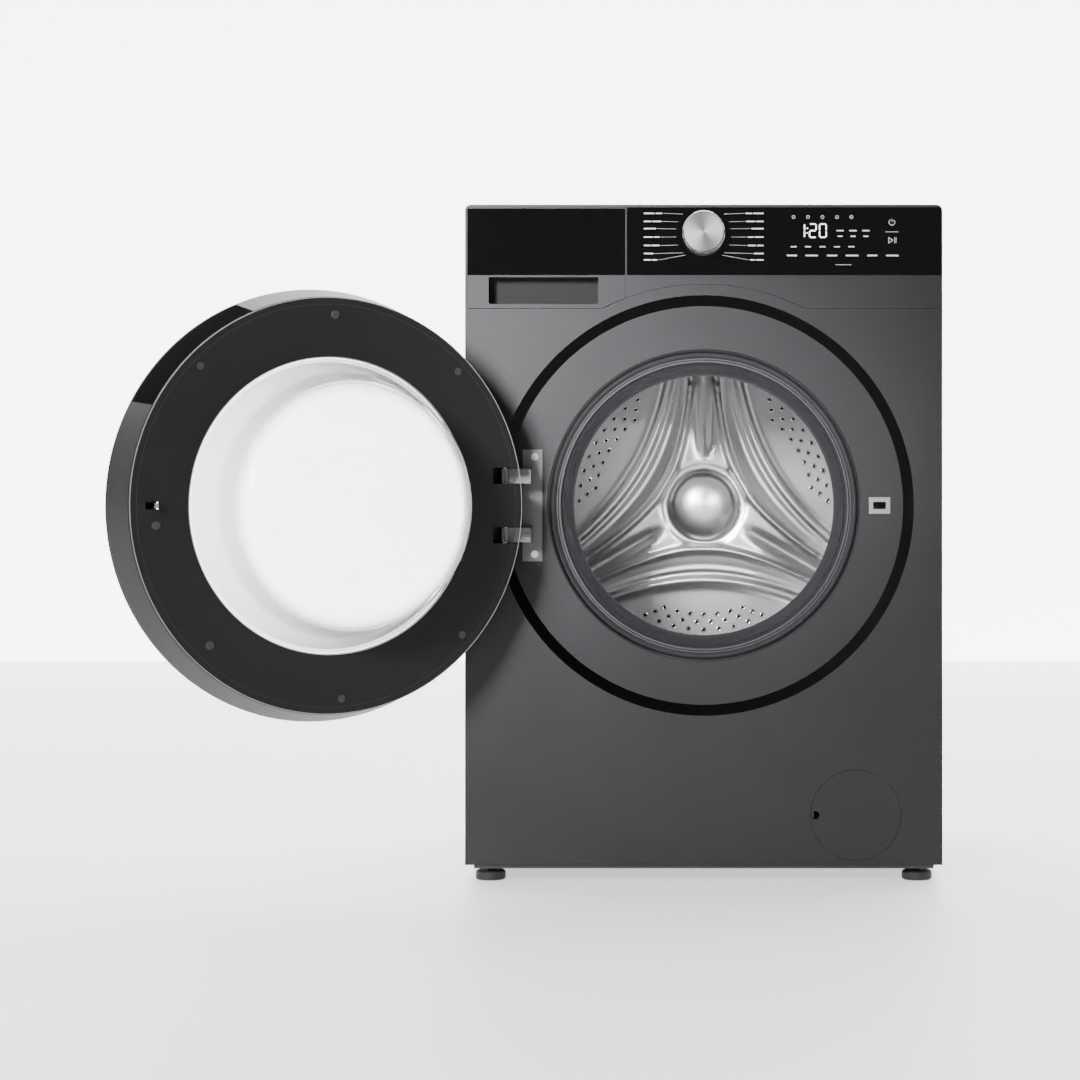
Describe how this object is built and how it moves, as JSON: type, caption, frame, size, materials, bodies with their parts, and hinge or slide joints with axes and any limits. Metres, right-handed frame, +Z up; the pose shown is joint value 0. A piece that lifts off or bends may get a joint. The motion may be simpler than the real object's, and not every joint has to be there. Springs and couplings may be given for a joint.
{
  "type": "front load washing machine",
  "caption": "Free-standing front load washing machine with a round porthole door stored open, detergent drawer, programme knob, sprung tub and belt driven drum.",
  "frame": {"origin": "on the floor under the centre of the cabinet, feet excluded from the depth", "axes": "+X to the right seen from the front, +Y to the rear, +Z up; the front faces -Y"},
  "size_m": [0.993, 0.9082, 0.845],
  "materials": {
    "painted_shell": "satin metallic",
    "worktop_grey": "satin",
    "zinc_steel": "zinc plated",
    "fascia_grey": "satin",
    "gloss_black": "gloss",
    "circuit": "satin",
    "knob_metal": "spun",
    "drawer_white": "satin",
    "black_plastic": "matte",
    "grey_plastic": "satin",
    "white_plastic": "satin",
    "bellows_rubber": "satin",
    "foot_rubber": "matte",
    "drum_steel": "bright",
    "bright_steel": "polished",
    "cast_alloy": "cast",
    "concrete": "rough",
    "clear_glass": "clear",
    "motor_steel": "satin"
  },
  "bodies": {
    "cabinet": {"cabinet_wrap": "painted_shell", "rear_panel": "painted_shell", "front_panel": "painted_shell", "worktop": "worktop_grey", "top_crossbars": "zinc_steel", "base_tray": "black_plastic", "foot_lock_nuts": "zinc_steel", "fascia": "fascia_grey", "control_glass": "gloss_black", "control_board": "circuit", "dispenser_housing": "drawer_white", "inlet_valve": "white_plastic", "fill_hose": "foot_rubber", "drain_outlet": "grey_plastic", "cord_gland": "black_plastic", "pump_housing": "white_plastic", "drain_pipe": "grey_plastic", "lock_bezel": "grey_plastic", "door_lock": "black_plastic", "hinge_bracket": "bright_steel", "hinge_pins": "bright_steel", "hinge_screws": "bright_steel", "suspension_springs": "zinc_steel", "damper_cylinders": "grey_plastic", "door_bellows": "bellows_rubber", "sump_hose": "foot_rubber"},
    "tub": {"tub_front_half": "grey_plastic", "tub_rear_half": "grey_plastic", "drum_bearings": "bright_steel", "counterweights": "concrete", "heater": "bright_steel", "damper_rods": "zinc_steel", "motor_body": "motor_steel", "drive_belt": "foot_rubber"},
    "drum": {"drum_shell": "drum_steel", "drum_back": "drum_steel", "lifters": "drum_steel", "spider": "cast_alloy", "drum_shaft": "bright_steel", "drum_pulley": "cast_alloy"},
    "motor_rotor": {"motor_pulley": "zinc_steel"},
    "door": {"door_rim": "black_plastic", "door_window": "clear_glass", "door_frame": "black_plastic", "door_bumpers": "foot_rubber", "door_fasteners": "zinc_steel", "glass_bowl": "clear_glass", "door_hinge_knuckles": "cast_alloy"},
    "latch": {"latch_hook": "bright_steel"},
    "drawer": {"drawer_front": "fascia_grey", "drawer_inlay": "gloss_black", "drawer_tray": "drawer_white"},
    "knob": {"program_knob": "knob_metal"},
    "service_cover": {"filter_cover": "painted_shell"},
    "filter_plug": {"pump_filter": "white_plastic"},
    "impeller": {"pump_impeller": "white_plastic"},
    "foot_fl": {"foot_front_left": "foot_rubber"},
    "foot_fr": {"foot_front_right": "foot_rubber"},
    "foot_rl": {"foot_rear_left": "foot_rubber"},
    "foot_rr": {"foot_rear_right": "foot_rubber"}
  },
  "joints": [
    {"name": "door_hinge", "type": "hinge", "parent": "cabinet", "child": "door", "pos_m": [-0.246, -0.3095, 0.47], "axis": [0, 0, 1], "range_deg": [0, 152]},
    {"name": "latch_swing", "type": "hinge", "parent": "door", "child": "latch", "pos_m": [-0.64091, -0.56025, 0.47], "axis": [0, 0, -1], "range_deg": [0, 8], "stiffness_Nm_per_rad": 0.4, "springref_deg": -8.59},
    {"name": "tub_bounce", "type": "slide", "parent": "cabinet", "child": "tub", "axis": [0, 0, 1], "range_m": [-0.012, 0.01], "stiffness_N_per_m": 12000, "springref_m": 0.03537, "deforming": ["suspension_springs", "door_bellows", "sump_hose"]},
    {"name": "drum_spin", "type": "hinge", "parent": "tub", "child": "drum", "pos_m": [0, 0, 0.47], "axis": [0, 1, 0], "continuous": true},
    {"name": "motor_spin", "type": "hinge", "parent": "tub", "child": "motor_rotor", "pos_m": [-0.13481, 0.19, 0.18089], "axis": [0, 1, 0], "continuous": true},
    {"name": "drawer_slide", "type": "slide", "parent": "cabinet", "child": "drawer", "axis": [0, -1, 0], "range_m": [0, 0.2]},
    {"name": "knob_turn", "type": "hinge", "parent": "cabinet", "child": "knob", "pos_m": [0, -0.2925, 0.809], "axis": [0, -1, 0], "continuous": true},
    {"name": "cover_hinge", "type": "hinge", "parent": "cabinet", "child": "service_cover", "pos_m": [0.2456, -0.2825, 0.084], "axis": [0, 0, 1], "range_deg": [0, 110]},
    {"name": "filter_turn", "type": "hinge", "parent": "cabinet", "child": "filter_plug", "pos_m": [0.1894, -0.25, 0.084], "axis": [0, 1, 0], "range_deg": [0, 90]},
    {"name": "impeller_spin", "type": "hinge", "parent": "cabinet", "child": "impeller", "pos_m": [0.1894, -0.12, 0.084], "axis": [0, 1, 0], "continuous": true},
    {"name": "foot_fl_screw", "type": "slide", "parent": "cabinet", "child": "foot_fl", "axis": [0, 0, -1], "range_m": [0, 0.012]},
    {"name": "foot_fr_screw", "type": "slide", "parent": "cabinet", "child": "foot_fr", "axis": [0, 0, -1], "range_m": [0, 0.012]},
    {"name": "foot_rl_screw", "type": "slide", "parent": "cabinet", "child": "foot_rl", "axis": [0, 0, -1], "range_m": [0, 0.012]},
    {"name": "foot_rr_screw", "type": "slide", "parent": "cabinet", "child": "foot_rr", "axis": [0, 0, -1], "range_m": [0, 0.012]}
  ],
  "couplings": [
    {"joint": "motor_spin", "follows": "drum_spin", "ratio": 12.5}
  ]
}
